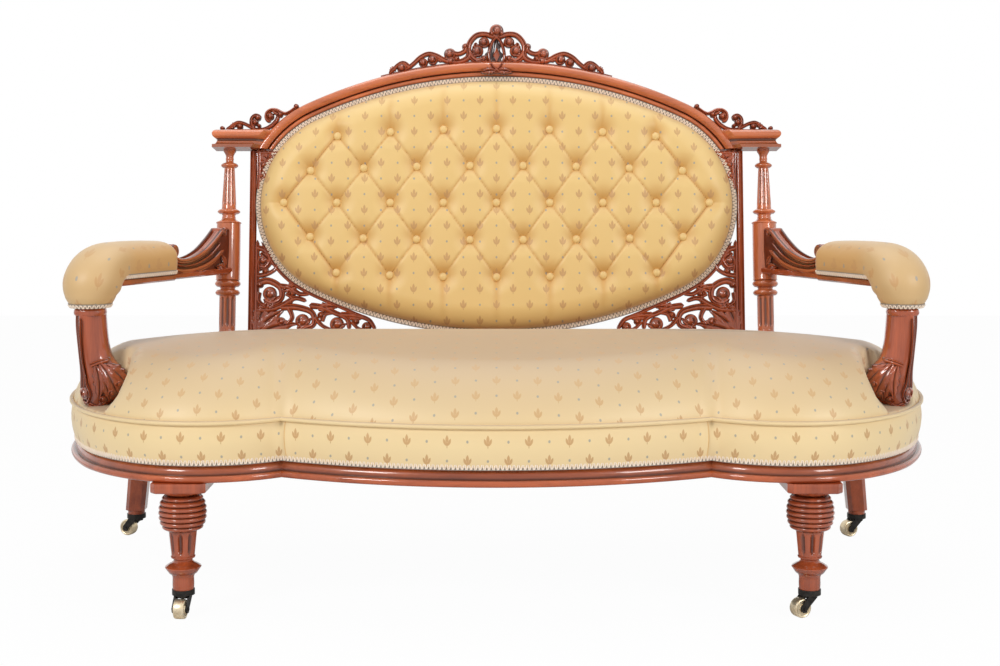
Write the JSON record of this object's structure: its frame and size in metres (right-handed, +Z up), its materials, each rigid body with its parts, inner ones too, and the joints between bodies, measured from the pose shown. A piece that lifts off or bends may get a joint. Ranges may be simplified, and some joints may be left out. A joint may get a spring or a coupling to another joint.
{
  "type": "settee",
  "caption": "Carved walnut settee with a bow-fronted sprung seat, a buttoned oval back between turned columns, padded arms and turned legs on swivelling brass castors.",
  "frame": {"origin": "on the floor, under the middle of the settee's width and depth", "axes": "+X to the right of someone facing the settee, -Y out of its front, +Z up"},
  "size_m": [1.7612, 0.8118, 1.1534],
  "materials": {
    "walnut": "gloss polish",
    "beech": "raw",
    "sprigged_satin": "satin weave",
    "gimp_braid": "braid",
    "outside_back_cloth": "plain weave",
    "jute_webbing": "coarse weave",
    "black_cloth": "plain weave",
    "spring_steel": "drawn wire",
    "brass": "worn",
    "blackened_iron": "blackened"
  },
  "bodies": {
    "settee": {"arm_gimps": "gimp_braid", "arm_pad_left": "sprigged_satin", "arm_pad_right": "sprigged_satin", "arm_rail_left": "walnut", "arm_rail_right": "walnut", "arm_support_left": "walnut", "arm_support_right": "walnut", "back_arch": "walnut", "back_bottom_rail": "walnut", "back_buttons": "sprigged_satin", "back_gimp": "gimp_braid", "back_leg_left": "walnut", "back_leg_right": "walnut", "back_pad": "sprigged_satin", "back_panel": "outside_back_cloth", "back_shelf_left": "walnut", "back_shelf_right": "walnut", "back_stile_left": "walnut", "back_stile_right": "walnut", "castor_cups": "blackened_iron", "column_left": "walnut", "column_right": "walnut", "crest_centre": "walnut", "crest_left": "walnut", "crest_right": "walnut", "fret_lower_left": "walnut", "fret_lower_right": "walnut", "fret_upper_left": "walnut", "fret_upper_right": "walnut", "front_leg_left": "walnut", "front_leg_right": "walnut", "oval_frame": "walnut", "seat_bottom_cloth": "black_cloth", "seat_corner_blocks": "beech", "seat_frame_back": "beech", "seat_frame_front": "beech", "seat_frame_left": "beech", "seat_frame_right": "beech", "seat_gimp": "gimp_braid", "seat_moulding_back": "walnut", "seat_moulding_front": "walnut", "seat_moulding_left": "walnut", "seat_moulding_right": "walnut", "seat_pad": "sprigged_satin", "seat_piping": "sprigged_satin", "seat_springs": "spring_steel", "seat_webbing": "jute_webbing"},
    "front_left_castor_horn": {"castor_front_left_horn": "blackened_iron"},
    "front_left_castor_wheel": {"castor_front_left_wheel": "brass"},
    "front_right_castor_horn": {"castor_front_right_horn": "blackened_iron"},
    "front_right_castor_wheel": {"castor_front_right_wheel": "brass"},
    "back_left_castor_horn": {"castor_back_left_horn": "blackened_iron"},
    "back_left_castor_wheel": {"castor_back_left_wheel": "brass"},
    "back_right_castor_horn": {"castor_back_right_horn": "blackened_iron"},
    "back_right_castor_wheel": {"castor_back_right_wheel": "brass"}
  },
  "joints": [
    {"name": "front_left_swivel", "type": "hinge", "parent": "settee", "child": "front_left_castor_horn", "pos_m": [-0.575, -0.31801, 0.044], "axis": [0, 0, 1], "continuous": true},
    {"name": "front_left_roll", "type": "hinge", "parent": "front_left_castor_horn", "child": "front_left_castor_wheel", "pos_m": [-0.57674, -0.33793, 0.018], "axis": [0.9962, -0.0872, 0], "continuous": true},
    {"name": "front_right_swivel", "type": "hinge", "parent": "settee", "child": "front_right_castor_horn", "pos_m": [0.575, -0.31801, 0.044], "axis": [0, 0, 1], "continuous": true},
    {"name": "front_right_roll", "type": "hinge", "parent": "front_right_castor_horn", "child": "front_right_castor_wheel", "pos_m": [0.55687, -0.32646, 0.018], "axis": [0.4226, -0.9063, 0], "continuous": true},
    {"name": "back_left_swivel", "type": "hinge", "parent": "settee", "child": "back_left_castor_horn", "pos_m": [-0.811, 0.32799, 0.044], "axis": [0, 0, 1], "continuous": true},
    {"name": "back_left_roll", "type": "hinge", "parent": "back_left_castor_horn", "child": "back_left_castor_wheel", "pos_m": [-0.82979, 0.33483, 0.018], "axis": [-0.342, -0.9397, 0], "continuous": true},
    {"name": "back_right_swivel", "type": "hinge", "parent": "settee", "child": "back_right_castor_horn", "pos_m": [0.811, 0.32799, 0.044], "axis": [0, 0, 1], "continuous": true},
    {"name": "back_right_roll", "type": "hinge", "parent": "back_right_castor_horn", "child": "back_right_castor_wheel", "pos_m": [0.79221, 0.32115, 0.018], "axis": [0.342, -0.9397, 0], "continuous": true}
  ]
}
